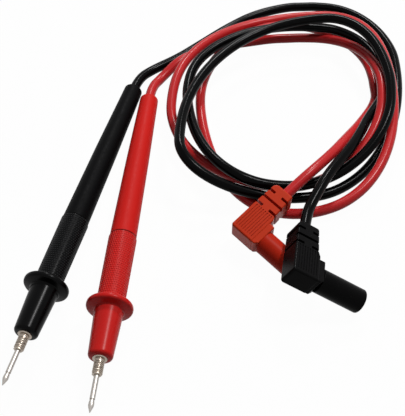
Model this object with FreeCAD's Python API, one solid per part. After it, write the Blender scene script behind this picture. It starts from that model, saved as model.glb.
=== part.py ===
import FreeCAD, Part
import math
import os

# A pair of test leads: two needle probes, two cables in loose coils and two
# right-angle shrouded plugs. Lengths are in millimetres, angles in degrees.
# The origin is on the table, under the middle of the box round both probes.
# X is the photograph's right, Y points away from the camera and Z is up.

# Probe stations, measured along its axis from the middle of the finger guard
NEEDLE_REACH = 44.0
COLLAR_REACH = 29.4
NOSE_REACH = 22.4
SEAM_REACH = 34.0
BARREL_REACH = 118.0

# Needle with a spear head in front of a ring groove
NEEDLE_D = 2.0
SPEAR_D = 2.2
SPEAR_LENGTH = 4.4
SPEAR_WIDEST_AT = 2.7
SPEAR_BELLY_R = 3.0
SPEAR_BACK_D = 1.9
SPEAR_POINT_D = 0.3
GROOVE_D = 1.5
GROOVE_LENGTH = 0.7
NEEDLE_SEAT = 11.0

# Contact rod: screw collar, flange and solder cup, turned in one piece
COLLAR_D = 4.0
COLLAR_CHAMFER = 0.4
FLANGE_D = 5.6
FLANGE_T = 0.9
FLANGE_SUNK = 0.4
ROD_D = 3.4
CUP_D = 4.2
CUP_LENGTH = 10.0
CUP_DEPTH = 7.0
CUP_BORE_D = 2.1
CUP_FROM_SEAM = 2.0

# Front grip moulding with its finger guard
NOSE_END_D = 9.4
NOSE_ROOT_D = 11.4
NOSE_LIP_R = 1.4
GUARD_D = 18.4
GUARD_RIM_T = 2.0
GUARD_ROOT_T = 3.8
GUARD_FILLET = 1.0
GRIP_FRONT_D = 10.8
GRIP_REAR_D = 11.3
GRIP_EDGE_R = 0.4
SPIGOT_D = 7.8
SPIGOT_LENGTH = 9.0

# Rear barrel, a smooth hollow sleeve that closes on the cable
BARREL_FRONT_D = 11.0
BARREL_WAIST_D = 10.1
BARREL_WAIST_AT = 76.0
BARREL_WAIST_R = 1500.0
BARREL_END_D = 8.5
BARREL_END_R = 0.9
BARREL_EDGE_R = 0.3
BARREL_ROOM_D = 6.8
BARREL_ROOM_LENGTH = 16.0
BARREL_NECK_LENGTH = 5.0

# Cable
CABLE_D = 4.6
CORE_D = 2.0
CORE_OVERLAP = 6.0

# Plug body in its own frame: X along the shroud, Y away from the cable, Z away
# from the ribbed face. Its origin is on the shroud's axis at the body's side.
BODY_WIDTH = 11.4
BODY_T = 9.8
BODY_END = 5.1
BODY_ROOT = 7.6
BODY_EDGE_R = 0.8
BODY_CORNER_R = 1.2
NECK_LENGTH = 2.0
NECK_R = 0.5
JACKET_END = 8.0

# Strain relief on the body, wider on the side that faces away from the shroud.
# Its slots leave a round core on the cable.
RELIEF_REACH = 21.6
RELIEF_INNER = 4.2
RELIEF_OUTER = 5.3
RELIEF_FLARE = 0.7
RELIEF_INNER_R = 1.1
RELIEF_OUTER_R = 2.2
RELIEF_CORE_D = 5.8
SLOT_ROWS = 3
SLOT_WIDTH = 1.2
SLOT_FIRST = 3.8
SLOT_PITCH = 3.85
SIDE_SLOT_DEPTH = 3.0
FACE_SLOT_DEPTH = 1.9
RIBS = 8
RIB_PITCH = 1.15
RIB_GROOVE_WIDTH = 0.45
RIB_GROOVE_DEPTH = 0.3
RIB_START_MARGIN = 0.6
RIB_END_MARGIN = 1.6
BLOCK_LENGTH = 2.4
BLOCK_FRONT = 6.2
BLOCK_CORNER = 1.4
BLOCK_EDGE_R = 0.5
BLOCK_T = 9.4

# Shroud and contact
SHROUD_D = 10.0
SHROUD_BORE_D = 7.4
SHROUD_REACH = 22.2
SHROUD_FLOOR = 1.2
SHROUD_EDGE_R = 0.6
SHROUD_SPIGOT_D = 6.4
SHROUD_SPIGOT_LENGTH = 4.6
PIN_CORE_D = 2.5
PIN_SHANK_D = 3.2
PIN_BLOCK_D = 4.4
PIN_BLOCK_END = 9.2
PIN_SHOULDER_D = 3.6
PIN_SHOULDER_T = 0.8
PIN_HEAD_D = 3.4
PIN_HEAD_LENGTH = 1.6
PIN_TIP_SUNK = 0.8
PIN_HOLE_DEPTH = 3.4
CAGE_RING_D = 3.5
CAGE_CROWN_D = 4.2
CAGE_WALL = 0.4
CAGE_RING_LENGTH = 1.2
CAGE_CROWN_LENGTH = 6.0
CAGE_LEAVES = 5
CAGE_SLOT_WIDTH = 0.5

# Clearances
SEAT_GAP = 0.02
TURN_GAP = 0.05
END_GAP = 0.1
FLOOR_GAP = 0.1

# Where the two probes lie: guard middle and the heading of the cable end
BLACK_GUARD_XY = (-14.47, -31.11)
BLACK_HEADING = 76.3
RED_GUARD_XY = (10.93, -40.46)
RED_HEADING = 85.0

# Where the two plugs lie: heading, droop and roll of the shroud's axis
BLACK_PLUG_XY = (89.0, -30.7)
BLACK_PLUG_TURN = (-12.8, 28.0, 8.2)
RED_PLUG_XY = (69.8, -7.0)
RED_PLUG_TURN = (-44.3, 7.9, -8.9)

# The coils. A turn has four quarters, at the back, right, front and left of the
# ring's middle. Each row is one quarter: how far out the cable is, how far along
# it has drifted, its height and its climb.
RING_XY = (86.5, 75.0)
RED_QUARTERS = [
    (47.0, 9.5, 3.5, 0.04),
    (43.5, -2.5, 14.0, -0.04),
    (52.0, 12.0, 5.5, 0.30),
    (54.5, -5.5, 8.0, 0.14),
    (61.0, 18.5, 6.5, 0.06),
    (48.5, -3.5, 13.0, -0.08),
    (65.5, -1.5, 3.0, -0.08),
    (41.0, 1.0, 6.0, -0.06),
    (54.0, 11.5, 5.0, -0.20),
    (43.0, -18.5, 3.0, 0.00),
]
BLACK_QUARTERS = [
    (72.5, 19.0, 3.0, 0.02),
    (55.0, -29.0, 4.5, 0.06),
    (58.5, 6.5, 5.0, 0.14),
    (50.0, -36.5, 19.5, -0.10),
    (44.5, 18.0, 18.0, 0.10),
    (46.5, 1.0, 18.0, -0.08),
    (55.0, 12.5, 10.0, 0.30),
    (47.0, 1.5, 11.5, -0.02),
    (47.5, 21.5, 9.5, -0.16),
    (46.0, -18.0, 8.0, 0.02),
]

# The cables' free stretches: points between the pieces that they join
RED_FROM_PROBE = [
    (26.5, 93.5, 2.5),
    (36.0, 104.0, 6.0),
    (48.0, 112.5, 3.0),
    (59.5, 118.0, 2.5),
    (70.0, 120.0, 2.5),
]
RED_TO_PLUG = [
    (119.5, 61.0, 4.0),
    (111.0, 47.5, 9.0),
    (103.5, 35.5, 13.0),
    (94.0, 24.5, 14.5),
]
BLACK_FROM_PROBE = [
    (22.0, 99.5, 2.5),
    (34.0, 107.5, 2.5),
    (46.0, 118.5, 2.5),
    (59.0, 130.0, 3.0),
    (73.5, 141.5, 2.5),
]
BLACK_TO_PLUG = [
    (120.0, 58.5, 9.0),
    (117.0, 45.5, 14.0),
    (111.0, 36.5, 15.0),
    (104.0, 28.0, 15.5),
    (98.5, 19.5, 15.5),
    (94.0, 11.0, 15.0),
]
PROBE_EXIT_RUN = 8.5
PLUG_ENTRY_RUN = 10.0
COIL_STUB = CABLE_D
COIL_ENTRY_RUN = 10.0
COIL_EXIT_RUN = 12.0
BEND_SHARE = 0.45

X_AXIS = FreeCAD.Vector(1, 0, 0)
Y_AXIS = FreeCAD.Vector(0, 1, 0)
Z_AXIS = FreeCAD.Vector(0, 0, 1)
ORIGIN = FreeCAD.Vector(0, 0, 0)
OUTWARD = (Y_AXIS, X_AXIS, -Y_AXIS, -X_AXIS)
ONWARD = (X_AXIS, -Y_AXIS, -X_AXIS, Y_AXIS)


def rounded_outline(corners):
    """Closed wire in the XY plane through corners (x, y, fillet radius)."""
    edges = []
    count = len(corners)
    points = [FreeCAD.Vector(x, y, 0) for x, y, _ in corners]
    ends = []
    for i in range(count):
        corner, radius = points[i], corners[i][2]
        back = (points[i - 1] - corner).normalize()
        ahead = (points[(i + 1) % count] - corner).normalize()
        if radius == 0:
            ends.append((corner, corner))
            continue
        half = math.acos(max(-1.0, min(1.0, back.dot(ahead)))) / 2
        cut = radius / math.tan(half)
        start, stop = corner + back * cut, corner + ahead * cut
        middle = (back + ahead).normalize()
        top = corner + middle * (radius / math.sin(half) - radius)
        edges.append((i, Part.Arc(start, top, stop).toShape()))
        ends.append((start, stop))
    arcs = dict(edges)
    outline = []
    for i in range(count):
        if i in arcs:
            outline.append(arcs[i])
        start, stop = ends[i][1], ends[(i + 1) % count][0]
        if start.distanceToPoint(stop) > 1e-6:
            outline.append(Part.LineSegment(start, stop).toShape())
    return Part.Wire(outline)


def turned(corners):
    """Solid of revolution about X from corners (station, radius, fillet)."""
    face = Part.Face(rounded_outline(corners))
    return face.revolve(ORIGIN, X_AXIS, 360)


def rod(start, stop, diameter):
    """Round rod along X between two stations."""
    return Part.makeCylinder(diameter / 2, stop - start, X_AXIS * start, X_AXIS)


def plate(corners, thickness):
    """Flat plate, centred on Z, from corners (x, y, fillet radius)."""
    face = Part.Face(rounded_outline(corners))
    solid = face.extrude(Z_AXIS * thickness)
    solid.translate(Z_AXIS * (-thickness / 2))
    return solid


def box(x0, x1, y0, y1, z0, z1):
    """Box between two corners."""
    return Part.makeBox(x1 - x0, y1 - y0, z1 - z0, FreeCAD.Vector(x0, y0, z0))


def frame(origin, along, side, normal):
    """Placement that sends local X, Y and Z to three given directions."""
    matrix = FreeCAD.Matrix(
        along.x, side.x, normal.x, origin.x,
        along.y, side.y, normal.y, origin.y,
        along.z, side.z, normal.z, origin.z,
        0, 0, 0, 1)
    return FreeCAD.Placement(matrix)


def heading_vector(degrees):
    """Level unit vector with a heading counted from X towards Y."""
    angle = math.radians(degrees)
    return FreeCAD.Vector(math.cos(angle), math.sin(angle), 0)


def probe_tilt():
    """Tilt that rests a probe on its guard's rim and its barrel's end."""
    rim_r = GUARD_RIM_T / 2
    drop = (GUARD_D / 2 - rim_r) - (BARREL_END_D / 2 - BARREL_END_R)
    length = BARREL_REACH - BARREL_END_R
    span = math.hypot(drop, length)
    return math.atan2(drop, length) + math.asin((rim_r - BARREL_END_R) / span)


def probe_frame(guard_xy, heading):
    """Frame of a probe: origin in the guard, X towards the cable."""
    tilt = probe_tilt()
    rim_r = GUARD_RIM_T / 2
    height = (GUARD_D / 2 - rim_r) * math.cos(tilt) + rim_r
    level = heading_vector(heading)
    along = level * math.cos(tilt) - Z_AXIS * math.sin(tilt)
    side = Z_AXIS.cross(level)
    origin = FreeCAD.Vector(guard_xy[0], guard_xy[1], height)
    return frame(origin, along, side, along.cross(side))


def plug_frame(plug_xy, turn):
    """Frame of a plug whose shroud's rim rests on the table."""
    heading, droop, roll = turn
    level = heading_vector(heading)
    slope = math.radians(droop)
    along = level * math.cos(slope) - Z_AXIS * math.sin(slope)
    flat_side = level.cross(Z_AXIS)
    flat_down = along.cross(flat_side)
    spin = math.radians(roll)
    side = flat_side * math.cos(spin) - flat_down * math.sin(spin)
    height = FLOOR_GAP + SHROUD_REACH * math.sin(slope) + SHROUD_D / 2 * math.cos(slope)
    origin = FreeCAD.Vector(plug_xy[0], plug_xy[1], height)
    return frame(origin, along, side, along.cross(side))


def needle():
    """Needle with a grooved spear head, pressed into the rod's collar."""
    tip = -NEEDLE_REACH
    barb = tip + SPEAR_LENGTH
    shank = barb + GROOVE_LENGTH
    tail = -COLLAR_REACH + NEEDLE_SEAT
    return turned([
        (tip, 0, 0),
        (tip, SPEAR_POINT_D / 2, 0),
        (tip + SPEAR_WIDEST_AT, SPEAR_D / 2, SPEAR_BELLY_R),
        (barb, SPEAR_BACK_D / 2, 0),
        (barb, GROOVE_D / 2, 0),
        (shank, GROOVE_D / 2, 0),
        (shank, NEEDLE_D / 2, 0),
        (tail, NEEDLE_D / 2, 0),
        (tail, 0, 0),
    ])


def contact_rod():
    """Turned rod: collar for a screw-on clip, flange, shank and solder cup."""
    front = -COLLAR_REACH
    flange_back = -NOSE_REACH + FLANGE_SUNK
    flange_front = flange_back - FLANGE_T
    cup_front = SEAM_REACH + CUP_FROM_SEAM
    cup_back = cup_front + CUP_LENGTH
    body = turned([
        (front, 0, 0),
        (front, COLLAR_D / 2 - COLLAR_CHAMFER, 0),
        (front + COLLAR_CHAMFER, COLLAR_D / 2, 0),
        (flange_front, COLLAR_D / 2, 0),
        (flange_front, FLANGE_D / 2, 0.2),
        (flange_back, FLANGE_D / 2, 0),
        (flange_back, ROD_D / 2, 0),
        (cup_front, ROD_D / 2, 0),
        (cup_front, CUP_D / 2, 0),
        (cup_back, CUP_D / 2, 0),
        (cup_back, 0, 0),
    ])
    needle_bore = rod(front - 1, front + NEEDLE_SEAT + END_GAP, NEEDLE_D + 2 * SEAT_GAP)
    cup_bore = rod(cup_back - CUP_DEPTH, cup_back + 1, CUP_BORE_D)
    cup_mouth = box(cup_back - CUP_DEPTH * 0.6, cup_back + 1, -CUP_BORE_D / 2,
                    CUP_BORE_D / 2, 0, CUP_D)
    return body.cut(needle_bore).cut(cup_bore).cut(cup_mouth)


def front_grip():
    """Nose, finger guard and grip in one moulding, with a rear spigot."""
    nose = -NOSE_REACH
    root = GUARD_ROOT_T / 2
    rim = GUARD_RIM_T / 2
    guard_r = GUARD_D / 2
    outside = turned([
        (nose, 0, 0),
        (nose, NOSE_END_D / 2, NOSE_LIP_R),
        (-root, NOSE_ROOT_D / 2, GUARD_FILLET),
        (-rim, guard_r, rim * 0.99),
        (rim, guard_r, rim * 0.99),
        (root, GRIP_FRONT_D / 2, GUARD_FILLET),
        (SEAM_REACH, GRIP_REAR_D / 2, GRIP_EDGE_R),
        (SEAM_REACH, SPIGOT_D / 2, 0),
        (SEAM_REACH + SPIGOT_LENGTH, SPIGOT_D / 2, 0.3),
        (SEAM_REACH + SPIGOT_LENGTH, 0, 0),
    ])
    cup_front = SEAM_REACH + CUP_FROM_SEAM
    shank_bore = rod(nose - 1, cup_front + 1, ROD_D + 2 * SEAT_GAP)
    cup_bore = rod(cup_front, SEAM_REACH + SPIGOT_LENGTH + 1, CUP_D + 2 * SEAT_GAP)
    flange_seat = rod(nose - 1, nose + FLANGE_SUNK, FLANGE_D + 2 * SEAT_GAP)
    return outside.cut(shank_bore).cut(cup_bore).cut(flange_seat)


def rear_barrel():
    """Smooth rear sleeve: socket for the spigot, wire room and cable bore."""
    socket_end = SEAM_REACH + SPIGOT_LENGTH + END_GAP
    room_end = socket_end + BARREL_ROOM_LENGTH
    bore_start = room_end + BARREL_NECK_LENGTH
    bore_r = CABLE_D / 2 + SEAT_GAP
    return turned([
        (SEAM_REACH, SPIGOT_D / 2 + SEAT_GAP, 0),
        (SEAM_REACH, BARREL_FRONT_D / 2, BARREL_EDGE_R),
        (BARREL_WAIST_AT, BARREL_WAIST_D / 2, BARREL_WAIST_R),
        (BARREL_REACH, BARREL_END_D / 2, BARREL_END_R),
        (BARREL_REACH, bore_r, 0.3),
        (bore_start, bore_r, 0),
        (room_end, BARREL_ROOM_D / 2, 0),
        (socket_end, BARREL_ROOM_D / 2, 0),
        (socket_end, SPIGOT_D / 2 + SEAT_GAP, 0),
    ])


def probe_wire():
    """Cable end that lies inside the barrel, up to its bare core."""
    start = SEAM_REACH + CUP_FROM_SEAM + CUP_LENGTH + CORE_OVERLAP
    return rod(start, BARREL_REACH, CABLE_D)


def probe_core():
    """Bare core, from the cable's end into the solder cup."""
    cup_back = SEAM_REACH + CUP_FROM_SEAM + CUP_LENGTH
    return rod(cup_back - CUP_DEPTH + END_GAP, cup_back + CORE_OVERLAP, CORE_D)


def slot_start(row):
    """Front side of a row of slots, towards the cable."""
    return -RELIEF_REACH + SLOT_FIRST + row * SLOT_PITCH - SLOT_WIDTH / 2


def slots(body):
    """Cut the strain relief's cross slots: side pairs and face pairs in turn."""
    middle = -BODY_WIDTH / 2
    inner_side = middle + RELIEF_INNER - SIDE_SLOT_DEPTH
    outer_side = middle - RELIEF_OUTER + SIDE_SLOT_DEPTH
    core = Part.makeCylinder(RELIEF_CORE_D / 2, RELIEF_REACH,
                             FreeCAD.Vector(middle, -RELIEF_REACH, 0), Y_AXIS)
    for row in range(SLOT_ROWS):
        y0 = slot_start(row)
        y1 = y0 + SLOT_WIDTH
        if row % 2:
            depth = BODY_T / 2 - FACE_SLOT_DEPTH
            cutters = [box(middle - BODY_WIDTH, middle + BODY_WIDTH, y0, y1, depth, BODY_T),
                       box(middle - BODY_WIDTH, middle + BODY_WIDTH, y0, y1, -BODY_T, -depth)]
        else:
            cutters = [box(middle - BODY_WIDTH, outer_side, y0, y1, -BODY_T, BODY_T),
                       box(inner_side, middle + BODY_WIDTH, y0, y1, -BODY_T, BODY_T)]
        for cutter in cutters:
            body = body.cut(cutter.cut(core))
    return body


def rib_grooves(body):
    """Cut the fine grooves that leave ribs on the body's two flat faces."""
    start = slot_start(SLOT_ROWS - 1) + SLOT_WIDTH + RIB_START_MARGIN
    stop = BODY_END - RIB_END_MARGIN
    first = -BODY_WIDTH / 2 - RIB_PITCH * (RIBS - 1) / 2
    for rib in range(RIBS):
        x = first + rib * RIB_PITCH
        for sign in (-1, 1):
            inner = sign * (BODY_T / 2 - RIB_GROOVE_DEPTH)
            outer = sign * BODY_T
            body = body.cut(box(x - RIB_GROOVE_WIDTH / 2, x + RIB_GROOVE_WIDTH / 2,
                                start, stop, min(inner, outer), max(inner, outer)))
    return body


def flat_edges(solid, thickness):
    """Edges of a plate that lie on its two flat faces."""
    return [edge for edge in solid.Edges
            if abs(abs(edge.CenterOfMass.z) - thickness / 2) < 1e-4]


def plug_body():
    """Right-angle moulding: body, stepped block and slotted strain relief."""
    middle = -BODY_WIDTH / 2
    neck = middle + RELIEF_INNER + RELIEF_FLARE
    block_end = BODY_END - 0.2
    moulding = plate([
        (middle - RELIEF_OUTER, -RELIEF_REACH, RELIEF_OUTER_R),
        (-BODY_WIDTH, -BODY_ROOT, BODY_CORNER_R),
        (-BODY_WIDTH, BODY_END, BODY_CORNER_R),
        (0, BODY_END, 0.4),
        (0, -BODY_ROOT, NECK_R),
        (neck, -BODY_ROOT - NECK_LENGTH, NECK_R),
        (middle + RELIEF_INNER, -RELIEF_REACH, RELIEF_INNER_R),
    ], BODY_T)
    moulding = moulding.makeFillet(BODY_EDGE_R, flat_edges(moulding, BODY_T))
    block = plate([
        (-1, -BLOCK_FRONT, 0),
        (-1, block_end, 0),
        (BLOCK_LENGTH - BLOCK_CORNER, block_end, BLOCK_EDGE_R),
        (BLOCK_LENGTH, block_end - BLOCK_CORNER, BLOCK_EDGE_R),
        (BLOCK_LENGTH, -BLOCK_FRONT, BLOCK_EDGE_R),
    ], BLOCK_T)
    outer_edges = [edge for edge in flat_edges(block, BLOCK_T) if edge.CenterOfMass.x > -0.9]
    block = block.makeFillet(BLOCK_EDGE_R, outer_edges)
    body = moulding.fuse(block).removeSplitter()
    body = rib_grooves(slots(body))
    wire_bore = Part.makeCylinder(CABLE_D / 2 + SEAT_GAP, RELIEF_REACH - JACKET_END + 1,
                                  FreeCAD.Vector(middle, -RELIEF_REACH - 1, 0), Y_AXIS)
    core_bore = Part.makeCylinder(CORE_D / 2 + SEAT_GAP, JACKET_END + 2,
                                  FreeCAD.Vector(middle, -JACKET_END - 1, 0), Y_AXIS)
    spigot_bore = rod(BLOCK_LENGTH - SHROUD_SPIGOT_LENGTH - END_GAP, BLOCK_LENGTH + 1,
                      SHROUD_SPIGOT_D + 2 * SEAT_GAP)
    pin_bore = rod(-PIN_BLOCK_END - END_GAP, 0, PIN_BLOCK_D + 2 * SEAT_GAP)
    return body.cut(wire_bore).cut(core_bore).cut(spigot_bore).cut(pin_bore)


def plug_shroud():
    """Insulating tube round the contact, with a spigot into the body."""
    back = BLOCK_LENGTH - SHROUD_SPIGOT_LENGTH
    floor = BLOCK_LENGTH + SHROUD_FLOOR
    bore_r = PIN_SHANK_D / 2 + SEAT_GAP
    return turned([
        (back, bore_r, 0),
        (back, SHROUD_SPIGOT_D / 2, 0.3),
        (BLOCK_LENGTH, SHROUD_SPIGOT_D / 2, 0),
        (BLOCK_LENGTH, SHROUD_D / 2, 0.3),
        (SHROUD_REACH, SHROUD_D / 2, SHROUD_EDGE_R),
        (SHROUD_REACH, SHROUD_BORE_D / 2, 0.3),
        (floor, SHROUD_BORE_D / 2, 0),
        (floor, bore_r, 0),
    ])


def cage_stations():
    """Front and back stations of the spring cage on the pin."""
    back = BLOCK_LENGTH + SHROUD_FLOOR + PIN_SHOULDER_T + END_GAP
    front = SHROUD_REACH - PIN_TIP_SUNK - PIN_HEAD_LENGTH - END_GAP
    return back, front


def plug_pin():
    """Turned pin: block with a cross hole, shank, shoulder, core and head."""
    spigot_back = BLOCK_LENGTH - SHROUD_SPIGOT_LENGTH
    floor = BLOCK_LENGTH + SHROUD_FLOOR
    cage_back, cage_front = cage_stations()
    tip = SHROUD_REACH - PIN_TIP_SUNK
    body = turned([
        (-PIN_BLOCK_END, 0, 0),
        (-PIN_BLOCK_END, PIN_BLOCK_D / 2, 0.3),
        (spigot_back - END_GAP, PIN_BLOCK_D / 2, 0),
        (spigot_back - END_GAP, PIN_SHANK_D / 2, 0),
        (floor, PIN_SHANK_D / 2, 0),
        (floor, PIN_SHOULDER_D / 2, 0),
        (cage_back - END_GAP, PIN_SHOULDER_D / 2, 0),
        (cage_back - END_GAP, PIN_CORE_D / 2, 0),
        (cage_front + END_GAP, PIN_CORE_D / 2, 0),
        (cage_front + END_GAP, PIN_HEAD_D / 2, 0),
        (tip, PIN_HEAD_D / 2, 0.9),
        (tip, 0, 0),
    ])
    hole = Part.makeCylinder(CORE_D / 2 + SEAT_GAP, PIN_HOLE_DEPTH,
                             FreeCAD.Vector(-BODY_WIDTH / 2, -PIN_BLOCK_D / 2, 0), Y_AXIS)
    return body.cut(hole)


def contact_cage():
    """Lantern spring: two rings joined by bowed leaves, free on the pin."""
    back, front = cage_stations()
    middle = (back + front) / 2
    crown = CAGE_CROWN_LENGTH / 2
    bore_r = PIN_CORE_D / 2 + TURN_GAP
    ring_r = CAGE_RING_D / 2
    crown_r = CAGE_CROWN_D / 2
    shell = turned([
        (back, bore_r, 0),
        (back, ring_r, 0),
        (back + CAGE_RING_LENGTH, ring_r, 3.0),
        (middle - crown, crown_r, 3.0),
        (middle + crown, crown_r, 3.0),
        (front - CAGE_RING_LENGTH, ring_r, 3.0),
        (front, ring_r, 0),
        (front, bore_r, 0),
        (front - CAGE_RING_LENGTH, bore_r, 0),
        (middle + crown, crown_r - CAGE_WALL, 2.0),
        (middle - crown, crown_r - CAGE_WALL, 2.0),
        (back + CAGE_RING_LENGTH, bore_r, 0),
    ])
    for leaf in range(CAGE_LEAVES):
        slot = box(back + CAGE_RING_LENGTH, front - CAGE_RING_LENGTH,
                   -CAGE_SLOT_WIDTH / 2, CAGE_SLOT_WIDTH / 2, 0, crown_r + 1)
        slot.rotate(ORIGIN, X_AXIS, 360 * leaf / CAGE_LEAVES)
        shell = shell.cut(slot)
    return shell


def plug_wire():
    """Cable end that lies inside the strain relief."""
    return Part.makeCylinder(CABLE_D / 2, RELIEF_REACH - JACKET_END,
                             FreeCAD.Vector(-BODY_WIDTH / 2, -RELIEF_REACH, 0), Y_AXIS)


def plug_core():
    """Bare core, from the cable's end into the pin's cross hole."""
    start = -JACKET_END
    stop = -PIN_BLOCK_D / 2 + PIN_HOLE_DEPTH - END_GAP
    return Part.makeCylinder(CORE_D / 2, stop - start,
                             FreeCAD.Vector(-BODY_WIDTH / 2, start, 0), Y_AXIS)


def arc_edge(start, tangent, stop):
    """Arc from a start and its tangent to a stop, and the tangent there."""
    chord = stop - start
    length = chord.Length
    unit = chord * (1 / length)
    end_tangent = unit * (2 * tangent.dot(unit)) - tangent
    half = math.acos(max(-1.0, min(1.0, tangent.dot(unit))))
    if half < 1e-5:
        return Part.LineSegment(start, stop).toShape(), end_tangent, math.inf
    bulge = (tangent - end_tangent).normalize()
    radius = length / (2 * math.sin(half))
    middle = (start + stop) * 0.5 + bulge * (radius * (1 - math.cos(half)))
    return Part.Arc(start, middle, stop).toShape(), end_tangent, radius


def bent_path(points):
    """Straight runs joined by tangent arcs, each as large as its runs allow."""
    edges = []
    radii = []
    here = points[0]
    for before, corner, after in zip(points, points[1:], points[2:]):
        run_in = corner - before
        run_out = after - corner
        cut = BEND_SHARE * min(run_in.Length, run_out.Length)
        along = run_in.normalize()
        start = corner - along * cut
        stop = corner + run_out.normalize() * cut
        edges.append(Part.LineSegment(here, start).toShape())
        arc, _, radius = arc_edge(start, along, stop)
        edges.append(arc)
        radii.append(radius)
        here = stop
    edges.append(Part.LineSegment(here, points[-1]).toShape())
    return edges, radii


def quarter_points(quarters):
    """Point and direction of the cable at each quarter of its coil."""
    centre = FreeCAD.Vector(RING_XY[0], RING_XY[1], 0)
    places = []
    for index, (reach, drift, height, climb) in enumerate(quarters):
        outward = OUTWARD[index % 4]
        onward = ONWARD[index % 4]
        point = centre + outward * reach + onward * drift + Z_AXIS * height
        places.append((point, (onward + Z_AXIS * climb).normalize()))
    return places


def coil_path(quarters):
    """One unbroken path of quarter turns, two tangent arcs to each."""
    places = quarter_points(quarters)
    first, first_way = places[0]
    last, last_way = places[-1]
    edges = [Part.LineSegment(first - first_way * COIL_STUB, first).toShape()]
    radii = []
    for (start, way_in), (stop, way_out) in zip(places, places[1:]):
        chord = stop - start
        ways = way_in + way_out
        spread = 2 * (1 - way_in.dot(way_out))
        reach = chord.dot(ways)
        root = math.sqrt(reach * reach + spread * chord.dot(chord))
        arm = (root - reach) / spread
        joint = (start + way_in * arm + stop - way_out * arm) * 0.5
        for leg_start, leg_stop in ((start, joint), (joint, stop)):
            edge, way_in, radius = arc_edge(leg_start, way_in, leg_stop)
            edges.append(edge)
            radii.append(radius)
    edges.append(Part.LineSegment(last, last + last_way * COIL_STUB).toShape())
    return edges, radii


def tube(name, edges, radii):
    """Round tube along a path, with its volume and radii printed."""
    path = Part.Wire(edges)
    start = edges[0].Vertexes[0].Point
    way = edges[0].tangentAt(edges[0].FirstParameter)
    ring = Part.Wire([Part.makeCircle(CABLE_D / 2, start, way)])
    solid = path.makePipeShell([ring], True, False)
    wanted = math.pi * CABLE_D ** 2 / 4 * path.Length
    print(f"{name}: length {path.Length:.0f} mm, volume {solid.Volume / wanted:.4f} of section x length, "
          f"least radius {min(radii):.1f} mm, radii {[round(r) for r in radii]}")
    return solid


def spaced_points(edges, step=2.5):
    """Points along a path, each with its distance from the start."""
    points = []
    travelled = 0.0
    for edge in edges:
        count = max(2, int(edge.Length / step) + 1)
        for index, point in enumerate(edge.discretize(Number=count)[:-1]):
            points.append((point, travelled + edge.Length * index / (count - 1)))
        travelled += edge.Length
    return points


def least_gap(first, second, same):
    """Least gap between the surfaces of two cables, or of one with itself."""
    near = 6 * CABLE_D
    best = math.inf
    for point, station in first:
        for other, other_station in second:
            if same and other_station - station < near:
                continue
            best = min(best, point.distanceToPoint(other))
    return best - CABLE_D


def lead_paths(probe, plug, quarters, from_probe, to_plug):
    """The three stretches of one cable: from the probe, coil, to the plug."""
    places = quarter_points(quarters)
    first, first_way = places[0]
    last, last_way = places[-1]
    coil_in = first - first_way * COIL_STUB
    coil_out = last + last_way * COIL_STUB
    leave = probe.multVec(X_AXIS * BARREL_REACH)
    leave_next = probe.multVec(X_AXIS * (BARREL_REACH + PROBE_EXIT_RUN))
    relief_top = FreeCAD.Vector(-BODY_WIDTH / 2, -RELIEF_REACH, 0)
    enter = plug.multVec(relief_top)
    enter_before = plug.multVec(relief_top - Y_AXIS * PLUG_ENTRY_RUN)
    start_points = [leave, leave_next]
    start_points += [FreeCAD.Vector(*point) for point in from_probe]
    start_points += [coil_in - first_way * COIL_ENTRY_RUN, coil_in]
    end_points = [coil_out, coil_out + last_way * COIL_EXIT_RUN]
    end_points += [FreeCAD.Vector(*point) for point in to_plug]
    end_points += [enter_before, enter]
    return {
        "lead_probe_end": bent_path(start_points),
        "lead_coil": coil_path(quarters),
        "lead_plug_end": bent_path(end_points),
    }


def placed(shape, where):
    """Copy of a local shape in the part's frame."""
    copy = shape.copy()
    copy.Placement = where.multiply(copy.Placement)
    return copy


PROBE_PIECES = {
    "needle": needle,
    "contact_rod": contact_rod,
    "front_grip": front_grip,
    "rear_barrel": rear_barrel,
    "probe_wire": probe_wire,
    "probe_core": probe_core,
}
PLUG_PIECES = {
    "plug_body": plug_body,
    "plug_shroud": plug_shroud,
    "plug_pin": plug_pin,
    "contact_cage": contact_cage,
    "plug_wire": plug_wire,
    "plug_core": plug_core,
}
LEADS = {
    "black": (BLACK_GUARD_XY, BLACK_HEADING, BLACK_PLUG_XY, BLACK_PLUG_TURN,
              BLACK_QUARTERS, BLACK_FROM_PROBE, BLACK_TO_PLUG),
    "red": (RED_GUARD_XY, RED_HEADING, RED_PLUG_XY, RED_PLUG_TURN,
            RED_QUARTERS, RED_FROM_PROBE, RED_TO_PLUG),
}


def build():
    """All nodes by name, placed in the part's frame."""
    nodes = {}
    stretches = {}
    for colour, lead in LEADS.items():
        guard_xy, heading, plug_xy, plug_turn, quarters, from_probe, to_plug = lead
        probe = probe_frame(guard_xy, heading)
        plug = plug_frame(plug_xy, plug_turn)
        for name, make in PROBE_PIECES.items():
            nodes[f"{colour}_{name}"] = placed(make(), probe)
        for name, make in PLUG_PIECES.items():
            nodes[f"{colour}_{name}"] = placed(make(), plug)
        for name, path in lead_paths(probe, plug, quarters, from_probe, to_plug).items():
            nodes[f"{colour}_{name}"] = tube(f"{colour}_{name}", *path)
            stretches[f"{colour}_{name}"] = spaced_points(path[0])
    return nodes, stretches


def print_gaps(stretches):
    """Print each coil's least gap to itself and to the other stretches."""
    names = list(stretches)
    for index, name in enumerate(names):
        if name.endswith("coil"):
            gap = least_gap(stretches[name], stretches[name], True)
            print(f"{name}: least gap to itself {gap:.2f} mm")
        for other in names[index + 1:]:
            if name.split("_")[0] != other.split("_")[0]:
                gap = least_gap(stretches[name], stretches[other], False)
                print(f"{name} to {other}: least gap {gap:.2f} mm")


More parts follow.
